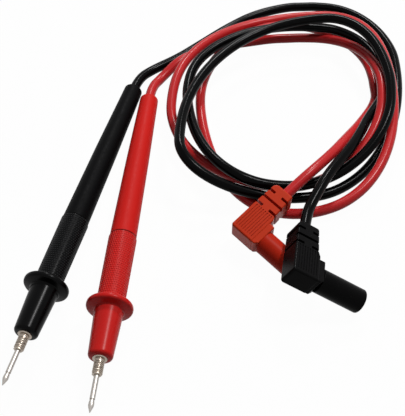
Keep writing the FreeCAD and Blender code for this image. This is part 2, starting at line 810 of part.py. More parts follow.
def export(nodes):
    """Write one STEP file for each node."""
    os.makedirs("parts", exist_ok=True)
    for name, shape in nodes.items():
        shape.exportStep(f"parts/{name}.step")
    print(f"{len(nodes)} nodes written")


all_nodes, all_stretches = build()
print_gaps(all_stretches)
export(all_nodes)
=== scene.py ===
"""Looks of a pair of test leads: needle probes, coiled cables and right-angle plugs.

Lengths are in metres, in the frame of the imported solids: the origin is on the
table between the probes, X is the photograph's right, Y points away from the
camera and Z is up.
"""

import logging
import math
from dataclasses import dataclass
from enum import Enum
from typing import Callable, Sequence

import bmesh
import bpy
from mathutils import Matrix, Vector


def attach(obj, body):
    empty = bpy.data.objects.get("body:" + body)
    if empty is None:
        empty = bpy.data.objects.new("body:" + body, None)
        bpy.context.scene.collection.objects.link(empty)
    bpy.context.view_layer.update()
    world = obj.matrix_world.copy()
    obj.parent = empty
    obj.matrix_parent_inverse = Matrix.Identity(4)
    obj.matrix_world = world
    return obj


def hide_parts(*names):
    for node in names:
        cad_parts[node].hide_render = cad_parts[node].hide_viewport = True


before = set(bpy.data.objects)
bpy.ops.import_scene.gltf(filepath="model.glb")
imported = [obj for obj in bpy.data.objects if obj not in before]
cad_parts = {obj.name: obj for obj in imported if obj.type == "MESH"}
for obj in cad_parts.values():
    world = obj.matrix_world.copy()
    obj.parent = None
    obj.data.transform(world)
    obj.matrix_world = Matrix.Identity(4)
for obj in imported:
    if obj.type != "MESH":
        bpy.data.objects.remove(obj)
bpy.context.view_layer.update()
LOG = logging.getLogger("test_leads")

Point = tuple[float, float, float]
Quarter = tuple[float, float, float, float]

SPECK_SCALE = 1900.0
SPECK_RANGE = (0.66, 0.78)
WEAR_PER_PATCH = 7.0
WEAR_RANGE = (0.3, 0.7)
LEAST_ROUGHNESS = 0.02
WHITE = (1.0, 1.0, 1.0, 1.0)


class Hue(Enum):
    """The two leads, named by the colour of their plastic."""

    BLACK = "black"
    RED = "red"


class Axis(Enum):
    """Directions in which a pattern can be stretched on a piece."""

    NONE = (1.0, 1.0, 1.0)
    ALONG = (0.06, 1.0, 1.0)


@dataclass(frozen=True)
class Pose:
    """Place and turn of a rigid group, with X along its own axis."""

    origin: Vector
    along: Vector
    side: Vector

    @property
    def normal(self) -> Vector:
        """Third direction of the group."""
        return self.along.cross(self.side)

    def matrix(self) -> Matrix:
        """Matrix from the group's own frame to the model's frame.

        Returns:
            A rigid 4 by 4 matrix.
        """
        turn = Matrix((self.along, self.side, self.normal)).transposed()
        return Matrix.Translation(self.origin) @ turn.to_4x4()

    def point(self, x: float, y: float = 0.0, z: float = 0.0) -> Vector:
        """A point of the group in the model's frame."""
        return self.matrix() @ Vector((x, y, z))


def level_vector(heading: float) -> Vector:
    """Level unit vector with a heading in degrees, counted from X towards Y."""
    angle = math.radians(heading)
    return Vector((math.cos(angle), math.sin(angle), 0.0))


class Graph:
    """Short way to write a material's or a modifier's node tree."""

    def __init__(self, tree: bpy.types.NodeTree) -> None:
        """Empty the tree and keep it.

        Args:
            tree: The node tree to fill.
        """
        self.tree = tree
        tree.nodes.clear()

    def add(self, kind: str, inputs: dict[str | int, object] | None = None,
            **settings: object) -> bpy.types.Node:
        """Add a node, set its fields and fill or link its inputs.

        Args:
            kind: The node's class name.
            inputs: Values or sockets by input name or number.
            settings: Fields of the node itself.

        Returns:
            The new node.
        """
        node = self.tree.nodes.new(kind)
        for name, value in settings.items():
            setattr(node, name, value)
        for name, value in (inputs or {}).items():
            socket = node.inputs[name]
            if isinstance(value, bpy.types.NodeSocket):
                self.tree.links.new(value, socket)
            else:
                socket.default_value = value
        return node

    def math(self, operation: str, first: object, second: object = 0.0) -> bpy.types.NodeSocket:
        """Result of a math node on two values or sockets.

        Args:
            operation: The node's operation.
            first: First value or socket.
            second: Second value or socket.

        Returns:
            The output socket.
        """
        node = self.add("ShaderNodeMath", {0: first, 1: second}, operation=operation)
        return node.outputs[0]


@dataclass(frozen=True)
class Finish:
    """Base of all finishes: a colour that varies a little, fine relief and light wear."""

    name: str
    colour: Point
    shade: float = 0.12
    patch_scale: float = 90.0
    roughness: float = 0.35
    roughness_spread: float = 0.08
    grain_scale: float = 2600.0
    grain_depth: float = 1e-5
    specular: float = 0.5
    metallic: float = 0.0
    dust: float = 0.0
    dust_colour: Point = (0.42, 0.40, 0.38)
    stretch: Axis = Axis.NONE

    def coordinates(self, graph: Graph, pose: Pose | None) -> bpy.types.NodeSocket:
        """Object coordinates, turned to a group's own axis where it has one.

        Args:
            graph: The material's graph.
            pose: The group that the piece belongs to, if any.

        Returns:
            The vector socket.
        """
        source = graph.add("ShaderNodeTexCoord").outputs["Object"]
        if pose is not None:
            turn = pose.matrix().to_euler()
            source = graph.add("ShaderNodeMapping", {
                "Vector": source, "Location": pose.origin, "Rotation": turn},
                vector_type="TEXTURE").outputs[0]
        return graph.add("ShaderNodeMapping", {
            "Vector": source, "Scale": self.stretch.value}).outputs[0]

    def tone(self, graph: Graph, where: bpy.types.NodeSocket) -> bpy.types.NodeSocket:
        """Colour of the surface, mottled in large and small patches.

        Args:
            graph: The material's graph.
            where: The pattern's coordinates.

        Returns:
            The colour socket.
        """
        patches = graph.add("ShaderNodeTexNoise", {
            "Vector": where, "Scale": self.patch_scale, "Detail": 4.0, "Roughness": 0.6})
        dark = tuple(c * (1.0 - self.shade) for c in self.colour) + (1.0,)
        light = tuple(min(1.0, c * (1.0 + self.shade)) for c in self.colour) + (1.0,)
        mottled = graph.add("ShaderNodeMix", {0: patches.outputs["Fac"], 6: dark, 7: light},
                            data_type="RGBA").outputs[2]
        if self.dust == 0.0:
            return mottled
        specks = graph.add("ShaderNodeTexNoise", {
            "Vector": where, "Scale": SPECK_SCALE, "Detail": 2.0, "Roughness": 0.5})
        share = graph.add("ShaderNodeMapRange", {
            "Value": specks.outputs["Fac"], "From Min": SPECK_RANGE[0],
            "From Max": SPECK_RANGE[1], "To Min": 0.0, "To Max": self.dust}).outputs[0]
        return graph.add("ShaderNodeMix", {0: share, 6: mottled, 7: self.dust_colour + (1.0,)},
                         data_type="RGBA").outputs[2]

    def relief(self, graph: Graph, where: bpy.types.NodeSocket) -> bpy.types.NodeSocket:
        """Fine relief of the surface.

        Args:
            graph: The material's graph.
            where: The pattern's coordinates.

        Returns:
            The normal socket.
        """
        grain = graph.add("ShaderNodeTexNoise", {
            "Vector": where, "Scale": self.grain_scale, "Detail": 3.0, "Roughness": 0.55})
        return graph.add("ShaderNodeBump", {
            "Height": grain.outputs["Fac"], "Distance": self.grain_depth,
            "Strength": 1.0}).outputs[0]

    def material(self, pose: Pose | None = None, tag: str = "") -> bpy.types.Material:
        """Material of this finish, made once for each group.

        Args:
            pose: The group whose axis the pattern follows.
            tag: Word that tells one group's material from another's.

        Returns:
            The material.
        """
        name = f"{tag}_{self.name}_finish" if tag else f"{self.name}_finish"
        known = bpy.data.materials.get(name)
        if known is not None:
            return known
        made = bpy.data.materials.new(name)
        made.use_nodes = True
        graph = Graph(made.node_tree)
        where = self.coordinates(graph, pose)
        wear = graph.add("ShaderNodeTexNoise", {
            "Vector": where, "Scale": self.patch_scale * WEAR_PER_PATCH, "Detail": 5.0,
            "Roughness": 0.65})
        low = max(LEAST_ROUGHNESS, self.roughness - self.roughness_spread)
        rough = graph.add("ShaderNodeMapRange", {
            "Value": wear.outputs["Fac"], "From Min": WEAR_RANGE[0], "From Max": WEAR_RANGE[1],
            "To Min": low, "To Max": self.roughness + self.roughness_spread})
        shader = graph.add("ShaderNodeBsdfPrincipled", {
            "Base Color": self.tone(graph, where),
            "Roughness": rough.outputs[0],
            "Normal": self.relief(graph, where),
            "Metallic": self.metallic,
            "Specular IOR Level": self.specular})
        graph.add("ShaderNodeOutputMaterial", {"Surface": shader.outputs[0]})
        made.diffuse_color = self.colour + (1.0,)
        return made


@dataclass(frozen=True)
class TurnedMetal(Finish):
    """Plated metal with fine lines left by the lathe round its axis."""

    line_scale: float = 166.66666666666669
    line_depth: float = 6e-7

    def relief(self, graph: Graph, where: bpy.types.NodeSocket) -> bpy.types.NodeSocket:
        """Turning lines on top of the plain grain.

        Args:
            graph: The material's graph.
            where: The pattern's coordinates.

        Returns:
            The normal socket.
        """
        plain = Finish.relief(self, graph, where)
        lines = graph.add("ShaderNodeTexWave", {
            "Vector": where, "Scale": self.line_scale, "Distortion": 1.5,
            "Detail": 2.0, "Detail Scale": 3.0}, bands_direction="X")
        return graph.add("ShaderNodeBump", {
            "Height": lines.outputs["Fac"], "Distance": self.line_depth,
            "Strength": 1.0, "Normal": plain}).outputs[0]


@dataclass(frozen=True)
class SeamedPlastic(Finish):
    """Plastic of a probe, with painted shade: a thin dark band round the seam of grip and barrel.
    """

    seam_at: float = 0.034
    seam_half_width: float = 0.00028
    seam_shade_factor: float = 0.35

    def tone(self, graph: Graph, where: bpy.types.NodeSocket) -> bpy.types.NodeSocket:
        """Plain mottled colour with the seam's painted shade.

        Args:
            graph: The material's graph.
            where: The pattern's coordinates, with X along the probe.

        Returns:
            The colour socket.
        """
        plain = Finish.tone(self, graph, where)
        # Painted shade: the colour darkens in a thin band round the seam between grip and barrel,
        # where shade falls in the joint.
        along = graph.add("ShaderNodeSeparateXYZ", {0: where}).outputs[0]
        away = graph.math("ABSOLUTE", graph.math("SUBTRACT", along, self.seam_at))
        share = graph.add("ShaderNodeMapRange", {
            "Value": away, "From Min": self.seam_half_width,
            "From Max": self.seam_half_width * 2.0, "To Min": 1.0, "To Max": 0.0}).outputs[0]
        shaded_seam_colour = tuple(c * self.seam_shade_factor for c in self.colour) + (1.0,)
        return graph.add("ShaderNodeMix", {0: share, 6: plain, 7: shaded_seam_colour},
                         data_type="RGBA").outputs[2]


@dataclass(frozen=True)
class LeadFinishes:
    """All finishes of one lead."""

    grip: Finish
    studs: Finish
    barrel: Finish
    cable: Finish
    moulding: Finish
    shroud: Finish


# Painted reflection: the base colour is kept dark and streaks run along the needle, standing in
# for dark surroundings mirrored in the metal; the streaks also give a drawn-metal look.
NEEDLE_STEEL = Finish("needle_steel", (0.40, 0.375, 0.35), metallic=1.0, roughness=0.40,
                      roughness_spread=0.03, shade=0.14, patch_scale=700.0,
                      grain_depth=4e-7, stretch=Axis.ALONG)
# Painted reflection: the dark base colour and the strong dark streaks along the rod stand in for
# dark surroundings mirrored in the nickel.
ROD_NICKEL = TurnedMetal("rod_nickel", (0.36, 0.31, 0.26), metallic=1.0, roughness=0.34,
                         roughness_spread=0.04, shade=0.35, patch_scale=500.0,
                         stretch=Axis.ALONG)
PIN_NICKEL = TurnedMetal("pin_nickel", (0.55, 0.51, 0.45), metallic=1.0, roughness=0.2,
                         shade=0.12, patch_scale=300.0)
SPRING_NICKEL = TurnedMetal("spring_nickel", (0.60, 0.55, 0.47), metallic=1.0, roughness=0.22,
                            shade=0.12, patch_scale=300.0)
COPPER = TurnedMetal("copper", (0.72, 0.36, 0.20), metallic=1.0, roughness=0.35, shade=0.25,
                     patch_scale=700.0)

FINISHES = {
    Hue.BLACK: LeadFinishes(
        grip=SeamedPlastic("black_grip", (0.0016, 0.0016, 0.0018), roughness=0.24,
                           roughness_spread=0.03, specular=0.055, grain_depth=1e-6,
                           dust=0.015),
        # Painted highlight: the studs are lighter than the grip, standing in for the light that
        # each stud catches.
        studs=Finish("black_studs", (0.014, 0.014, 0.015), roughness=0.5, specular=0.05,
                     shade=0.4, patch_scale=160.0, grain_scale=4000.0,
                     grain_depth=3e-6),
        barrel=SeamedPlastic("black_barrel", (0.0014, 0.0014, 0.0016), roughness=0.5,
                             specular=0.03, grain_depth=2e-6, dust=0.015),
        cable=Finish("black_cable", (0.0012, 0.0012, 0.0014), roughness=0.19,
                     roughness_spread=0.015, specular=0.04, grain_scale=3600.0,
                     grain_depth=3e-7, dust=0.02),
        moulding=Finish("black_moulding", (0.0050, 0.0048, 0.0051), roughness=0.24,
                        roughness_spread=0.04, specular=0.022, grain_scale=2200.0,
                        grain_depth=4e-6, dust=0.04),
        shroud=Finish("black_shroud", (0.0022, 0.0021, 0.0022), roughness=0.32,
                      roughness_spread=0.04, specular=0.03, grain_scale=1800.0,
                      grain_depth=3e-6, dust=0.03)),
    Hue.RED: LeadFinishes(
        grip=SeamedPlastic("red_grip", (0.52, 0.013, 0.011), roughness=0.28,
                           roughness_spread=0.03, specular=0.09, shade=0.06,
                           grain_depth=1e-6, dust=0.03),
        # Painted highlight: the studs are lighter and paler than the grip, standing in for the
        # light that each stud catches.
        studs=Finish("red_studs", (0.57, 0.028, 0.024), roughness=0.5, specular=0.10,
                     shade=0.10, patch_scale=160.0, grain_scale=4000.0,
                     grain_depth=3e-6),
        barrel=SeamedPlastic("red_barrel", (0.55, 0.013, 0.010), roughness=0.48,
                             specular=0.06, shade=0.05, grain_depth=2e-6, dust=0.03),
        cable=Finish("red_cable", (0.49, 0.018, 0.020), roughness=0.24,
                     roughness_spread=0.02, specular=0.12, shade=0.08, grain_scale=3600.0,
                     grain_depth=4e-7, dust=0.03),
        moulding=Finish("red_moulding", (0.49, 0.034, 0.010), roughness=0.34,
                        roughness_spread=0.04, specular=0.06, shade=0.08,
                        grain_scale=2200.0, grain_depth=6e-6, dust=0.05),
        # Painted shade: the shroud's red is set darker than the moulding's, for the shade on the
        # shroud's sides.
        shroud=Finish("red_shroud", (0.42, 0.018, 0.006), roughness=0.36,
                      roughness_spread=0.04, specular=0.06, shade=0.08,
                      grain_scale=1800.0, grain_depth=5e-6, dust=0.04)),
}


def dress(node: str, finish: Finish, pose: Pose | None, tag: str) -> None:
    """Give a CAD node its finish.

    Args:
        node: The node's name.
        finish: The finish.
        pose: The group whose axis the pattern follows.
        tag: Word that tells the group's materials from another's.
    """
    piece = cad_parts[node]
    made = finish.material(pose, tag)
    if piece.material_slots:
        for slot in piece.material_slots:
            slot.material = made
    else:
        piece.data.materials.append(made)
    LOG.info("dressed %s with %s", node, made.name)


def settle(name: str, mesh: bpy.types.Mesh, made: bpy.types.Material | None,
           body: str) -> bpy.types.Object:
    """Make a finished mesh into a piece that rides on a body.

    Args:
        name: The piece's name.
        mesh: Its mesh, already in place.
        made: Its material, or None where the mesh has its own.
        body: The body that it rides on.

    Returns:
        The new piece.
    """
    mesh.name = name
    if made is not None:
        mesh.materials.clear()
        mesh.materials.append(made)
    piece = bpy.data.objects.new(name, mesh)
    bpy.context.scene.collection.objects.link(piece)
    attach(piece, body)
    LOG.info("%s: %d faces", name, len(mesh.polygons))
    return piece


def smooth_by_angle(mesh: bpy.types.Mesh, degrees: float = 35.0) -> None:
    """Shade a mesh smooth, with its sharp edges kept.

    Args:
        mesh: The mesh.
        degrees: Angle above which an edge stays sharp.
    """
    limit = math.radians(degrees)
    shape = bmesh.new()
    shape.from_mesh(mesh)
    for face in shape.faces:
        face.smooth = True
    for edge in shape.edges:
        if len(edge.link_faces) == 2:
            edge.smooth = edge.calc_face_angle(0.0) < limit
    shape.to_mesh(mesh)
    shape.free()


def lathe(profile: Sequence[tuple[float, float]], segments: int = 64) -> bpy.types.Mesh:
    """Closed mesh of revolution about X.

    Args:
        profile: Stations and radii from front to back; a radius of 0 makes a pole.
        segments: Faces round the axis.

    Returns:
        The mesh, in the group's own frame.
    """
    shape = bmesh.new()
    rings: list[list[bmesh.types.BMVert]] = []
    for x, radius in profile:
        if radius == 0.0:
            rings.append([shape.verts.new((x, 0.0, 0.0))])
            continue
        ring = []
        for step in range(segments):
            angle = 2.0 * math.pi * step / segments
            ring.append(shape.verts.new((x, radius * math.cos(angle), radius * math.sin(angle))))
        rings.append(ring)
    for front, back in zip(rings, rings[1:]):
        for step in range(segments):
            after = (step + 1) % segments
            corners = [front[step % len(front)], front[after % len(front)],
                       back[after % len(back)], back[step % len(back)]]
            shape.faces.new(list(dict.fromkeys(corners)))
    bmesh.ops.recalc_face_normals(shape, faces=shape.faces[:])
    mesh = bpy.data.meshes.new("lathe")
    shape.to_mesh(mesh)
    shape.free()
    smooth_by_angle(mesh)
    return mesh


class NodeShape:
    """A mesh made by a Geometry Nodes tree with named inputs."""

    def __init__(self, name: str, sizes: dict[str, float | int]) -> None:
        """Start a tree with its inputs.

        Args:
            name: The tree's name.
            sizes: Input values by name; whole numbers make whole-number inputs.
        """
        self.tree = bpy.data.node_groups.new(name, "GeometryNodeTree")
        self.tree.interface.new_socket("Geometry", in_out="INPUT",
                                       socket_type="NodeSocketGeometry")
        self.tree.interface.new_socket("Geometry", in_out="OUTPUT",
                                       socket_type="NodeSocketGeometry")
        self.values: dict[str, float | int] = {}
        for label, value in sizes.items():
            kind = "NodeSocketInt" if isinstance(value, int) else "NodeSocketFloat"
            socket = self.tree.interface.new_socket(label, in_out="INPUT", socket_type=kind)
            self.values[socket.identifier] = value
        self.graph = Graph(self.tree)
        self.inputs = self.graph.add("NodeGroupInput").outputs

    def close(self, geometry: bpy.types.NodeSocket, made: bpy.types.Material) -> None:
        """End the tree in real geometry with a material.

        Args:
            geometry: The shape's socket.
            made: The material.
        """
        real = self.graph.add("GeometryNodeRealizeInstances", {"Geometry": geometry})
        painted = self.graph.add("GeometryNodeSetMaterial", {
            "Geometry": real.outputs[0], "Material": made})
        self.graph.add("NodeGroupOutput", {0: painted.outputs[0]})

    def mesh(self) -> bpy.types.Mesh:
        """Evaluate the tree once.

        Returns:
            The plain mesh.
        """
        holder = bpy.data.objects.new(self.tree.name, bpy.data.meshes.new("empty"))
        bpy.context.scene.collection.objects.link(holder)
        modifier = holder.modifiers.new("shape", "NODES")
        modifier.node_group = self.tree
        for identifier, value in self.values.items():
            modifier[identifier] = value
        holder.update_tag()
        bpy.context.view_layer.update()
        graph = bpy.context.evaluated_depsgraph_get()
        result = bpy.data.meshes.new_from_object(holder.evaluated_get(graph))
        holder.modifiers.remove(modifier)
        bpy.data.objects.remove(holder)
        return result


@dataclass
class Probe:
    """Needle, contact rod, grip with finger guard, and rear barrel."""

    hue: Hue
    guard: tuple[float, float]
    heading: float
    guard_radius: float = 0.0092
    rim_radius: float = 0.001
    reach: float = 0.118
    end_radius: float = 0.00425
    end_round: float = 0.0009
    knurl_start: float = 0.0034
    knurl_length: float = 0.0298
    knurl_front_radius: float = 0.00541
    knurl_rear_radius: float = 0.00563
    knurl_rows: int = 30
    knurl_per_ring: int = 36
    stud_radius: float = 0.00033
    stud_height: float = 0.00019
    flange_radius: float = 0.0028
    flange_width: float = 0.0009
    needle_hole: float = 0.00102
    needle_hole_end: float = -0.0183
    shank_radius: float = 0.0017
    cup_front: float = 0.036
    cup_back: float = 0.046
    cup_radius: float = 0.0021
    cup_hole: float = 0.00105
    cup_hole_end: float = 0.039
    collar_front: float = -0.0294
    collar_back: float = -0.0229
    collar_core: float = 0.00171
    collar_radius: float = 0.002
    thread_pitch: float = 0.0007
    thread_start: float = 0.0005
    thread_shortfall: float = 0.0012
    ridge_middle_share: float = 0.3
    ridge_radius_share: float = 0.75

    @property
    def name(self) -> str:
        """First word of the lead's names."""
        return self.hue.value

    def pose(self) -> Pose:
        """The probe lies on its guard's rim and on its barrel's end.

        Returns:
            The pose, with its origin in the guard's middle.
        """
        drop = (self.guard_radius - self.rim_radius) - (self.end_radius - self.end_round)
        length = self.reach - self.end_round
        span = math.hypot(drop, length)
        tilt = math.atan2(drop, length) + math.asin((self.rim_radius - self.end_round) / span)
        height = (self.guard_radius - self.rim_radius) * math.cos(tilt) + self.rim_radius
        level = level_vector(self.heading)
        along = level * math.cos(tilt) - Vector((0.0, 0.0, math.sin(tilt)))
        side = Vector((0.0, 0.0, 1.0)).cross(level)
        return Pose(Vector((self.guard[0], self.guard[1], height)), along, side)

    def knurl(self) -> bpy.types.Object:
        """Rows of small studs moulded round the grip.

        Returns:
            The piece.
        """
        finish = FINISHES[self.hue].studs
        shape = NodeShape(f"{self.name}_knurl_tree", {
            "Start": self.knurl_start, "Length": self.knurl_length,
            "Front Radius": self.knurl_front_radius, "Rear Radius": self.knurl_rear_radius,
            "Rows": self.knurl_rows, "Studs per Ring": self.knurl_per_ring,
            "Stud Radius": self.stud_radius, "Stud Height": self.stud_height})
        graph, size = shape.graph, shape.inputs
        turn = 2.0 * math.pi * (self.knurl_per_ring - 1) / self.knurl_per_ring
        grid = graph.add("GeometryNodeMeshGrid", {
            "Size X": size["Length"], "Size Y": turn, "Vertices X": size["Rows"],
            "Vertices Y": size["Studs per Ring"]})
        place = graph.add("ShaderNodeSeparateXYZ", {
            0: graph.add("GeometryNodeInputPosition").outputs[0]}).outputs
        share = graph.math("ADD", graph.math("DIVIDE", place[0], size["Length"]), 0.5)
        row = graph.math("ROUND", graph.math("MULTIPLY", share,
                                             graph.math("SUBTRACT", size["Rows"], 1.0)))
        odd = graph.math("MODULO", row, 2.0)
        half = graph.math("DIVIDE", math.pi, size["Studs per Ring"])
        angle = graph.math("ADD", place[1], graph.math("MULTIPLY", odd, half))
        grow = graph.math("SUBTRACT", size["Rear Radius"], size["Front Radius"])
        radius = graph.math("ADD", size["Front Radius"], graph.math("MULTIPLY", share, grow))
        x = graph.math("ADD", size["Start"], graph.math("MULTIPLY", share, size["Length"]))
        y = graph.math("MULTIPLY", radius, graph.math("COSINE", angle))
        z = graph.math("MULTIPLY", radius, graph.math("SINE", angle))
        ring = graph.add("ShaderNodeCombineXYZ", {0: x, 1: y, 2: z})
        bent = graph.add("GeometryNodeSetPosition", {
            "Geometry": grid.outputs["Mesh"], "Position": ring.outputs[0]})
        ball = graph.add("GeometryNodeMeshUVSphere", {
            "Segments": 8, "Rings": 6, "Radius": 1.0})
        flat = graph.add("ShaderNodeCombineXYZ", {
            0: size["Stud Radius"], 1: size["Stud Radius"], 2: size["Stud Height"]})
        stud = graph.add("GeometryNodeTransform", {
            "Geometry": ball.outputs["Mesh"], "Scale": flat.outputs[0]})
        here = graph.add("ShaderNodeSeparateXYZ", {
            0: graph.add("GeometryNodeInputPosition").outputs[0]}).outputs
        outward = graph.add("ShaderNodeCombineXYZ", {1: here[1], 2: here[2]})
        turned = graph.add("FunctionNodeAlignEulerToVector", {
            "Vector": outward.outputs[0]}, axis="Z")
        studs = graph.add("GeometryNodeInstanceOnPoints", {
            "Points": bent.outputs[0], "Instance": stud.outputs[0],
            "Rotation": turned.outputs[0]})
        shape.close(studs.outputs[0], finish.material())
        mesh = shape.mesh()
        mesh.transform(self.pose().matrix())
        smooth_by_angle(mesh, degrees=80.0)
        return settle(f"{self.name}_grip_knurl", mesh, None, "leads")

    def rod(self) -> bpy.types.Object:
        """Contact rod whose collar is cut down to the thread's root.

        Returns:
            The piece, which stands for the CAD rod.
        """
        core, crest = self.collar_core, self.collar_radius
        front, back = self.collar_front, self.collar_back
        flange, shank, cup = self.flange_radius, self.shank_radius, self.cup_radius
        rear = back + self.flange_width
        fine, edge, wide = 0.0001, 0.0002, 0.0003
        bevel_front, bevel_rear = 0.00018, 0.00014
        profile = [
            (self.needle_hole_end, 0.0), (self.needle_hole_end, self.needle_hole),
            (front, self.needle_hole), (front, core - edge), (front + edge, core),
            (back - 3.0 * edge, core), (back - 2.0 * edge, crest - fine), (back, crest - fine),
            (back, flange - edge), (back + fine, flange - fine / 2.0),
            (back + bevel_front, flange), (rear - bevel_rear, flange), (rear, flange - fine),
            (rear, shank), (self.cup_front, shank), (self.cup_front, cup),
            (self.cup_back - wide, cup), (self.cup_back, cup - wide),
            (self.cup_back, self.cup_hole), (self.cup_hole_end, self.cup_hole),
            (self.cup_hole_end, 0.0)]
        mesh = lathe(profile, segments=72)
        mesh.transform(self.pose().matrix())
        piece = settle(f"{self.name}_threaded_rod", mesh,
                       ROD_NICKEL.material(self.pose(), self.name), "leads")
        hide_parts(f"{self.name}_contact_rod")
        return piece

    def thread(self) -> bpy.types.Object:
        """Helical ridge of the collar's thread.

        Returns:
            The piece.
        """
        length = self.collar_back - self.collar_front - self.thread_shortfall
        shape = NodeShape(f"{self.name}_thread_tree", {
            "Core Radius": self.collar_core, "Turns": length / self.thread_pitch,
            "Length": length, "Ridge": self.collar_radius - self.collar_core})
        graph, size = shape.graph, shape.inputs
        middle = graph.math("ADD", size["Core Radius"],
                            graph.math("MULTIPLY", size["Ridge"], self.ridge_middle_share))
        helix = graph.add("GeometryNodeCurveSpiral", {
            "Resolution": 40, "Rotations": size["Turns"], "Start Radius": middle,
            "End Radius": middle, "Height": size["Length"]})
        ridge = graph.add("GeometryNodeCurvePrimitiveCircle", {
            "Resolution": 6,
            "Radius": graph.math("MULTIPLY", size["Ridge"], self.ridge_radius_share)})
        swept = graph.add("GeometryNodeCurveToMesh", {
            "Curve": helix.outputs[0], "Profile Curve": ridge.outputs["Curve"],
            "Fill Caps": True})
        shape.close(swept.outputs[0], ROD_NICKEL.material(self.pose(), self.name))
        mesh = shape.mesh()
        lay_down = Matrix(((0, 0, 1, self.collar_front + self.thread_start), (1, 0, 0, 0),
                           (0, 1, 0, 0), (0, 0, 0, 1)))
        mesh.transform(self.pose().matrix() @ lay_down)
        smooth_by_angle(mesh, degrees=50.0)
        return settle(f"{self.name}_collar_thread", mesh, None, "leads")

    def build(self) -> None:
        """Dress the CAD pieces and add the thread and the knurl."""
        finishes = FINISHES[self.hue]
        pose = self.pose()
        dress(f"{self.name}_needle", NEEDLE_STEEL, pose, self.name)
        dress(f"{self.name}_front_grip", finishes.grip, pose, "")
        dress(f"{self.name}_rear_barrel", finishes.barrel, pose, "")
        dress(f"{self.name}_probe_wire", finishes.cable, None, "")
        dress(f"{self.name}_probe_core", COPPER, pose, self.name)
        self.rod()
        self.thread()
        self.knurl()


@dataclass
class Plug:
    """Right-angle plug: moulding, insulating shroud, pin and spring cage."""

    hue: Hue
    place: tuple[float, float]
    heading: float
    droop: float
    roll: float
    shroud_reach: float = 0.0222
    shroud_radius: float = 0.005
    floor_gap: float = 0.0001
    cable_x: float = -0.0057
    relief_reach: float = 0.0216

    @property
    def name(self) -> str:
        """First word of the lead's names."""
        return self.hue.value

    def pose(self) -> Pose:
        """The plug rests on its shroud's rim.

        Returns:
            The pose, with X along the shroud and Y away from the cable.
        """
        level = level_vector(self.heading)
        slope, spin = math.radians(self.droop), math.radians(self.roll)
        along = level * math.cos(slope) - Vector((0.0, 0.0, math.sin(slope)))
        flat_side = level.cross(Vector((0.0, 0.0, 1.0)))
        flat_down = along.cross(flat_side)
        side = flat_side * math.cos(spin) - flat_down * math.sin(spin)
        height = (self.floor_gap + self.shroud_reach * math.sin(slope)
                  + self.shroud_radius * math.cos(slope))
        return Pose(Vector((self.place[0], self.place[1], height)), along, side)

    def nodes(self) -> list[bpy.types.Object]:
        """The CAD nodes that hang on the cable's end.

        Returns:
            The node objects.
        """
        words = ("plug_body", "plug_shroud", "plug_pin", "contact_cage", "plug_wire",
                 "plug_core")
        return [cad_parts[f"{self.name}_{word}"] for word in words]

    def build(self) -> None:
        """Dress the CAD pieces."""
        finishes = FINISHES[self.hue]
        pose = self.pose()
        dress(f"{self.name}_plug_body", finishes.moulding, None, "")
        dress(f"{self.name}_plug_shroud", finishes.shroud, None, "")
        dress(f"{self.name}_plug_pin", PIN_NICKEL, pose, f"{self.name}_plug")
        dress(f"{self.name}_contact_cage", SPRING_NICKEL, pose, f"{self.name}_plug")
        dress(f"{self.name}_plug_wire", finishes.cable, None, "")
        dress(f"{self.name}_plug_core", COPPER, pose, f"{self.name}_plug")


